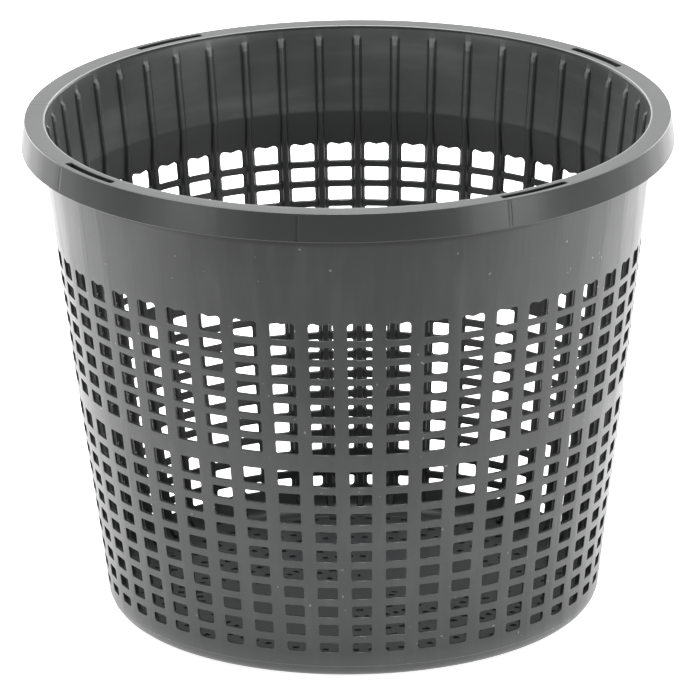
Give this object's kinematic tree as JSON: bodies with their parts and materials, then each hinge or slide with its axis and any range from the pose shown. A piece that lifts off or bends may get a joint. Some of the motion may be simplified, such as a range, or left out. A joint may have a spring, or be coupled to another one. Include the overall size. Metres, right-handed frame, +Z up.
{
  "type": "pond planting basket",
  "caption": "Round tapered plastic planting basket for ponds, with a latticed wall, inner ribs and a flanged, slotted rim.",
  "frame": {"origin": "centre of the foot ring's underside, on the surface the basket stands on", "axes": "+Z up along the basket's axis, +X and +Y through two neighbouring flange slots"},
  "size_m": [0.23, 0.23, 0.18],
  "materials": {
    "moulded_plastic": "satin moulded polypropylene, dark anthracite grey"
  },
  "bodies": {
    "root": {"basket": "moulded_plastic"}
  },
  "joints": []
}
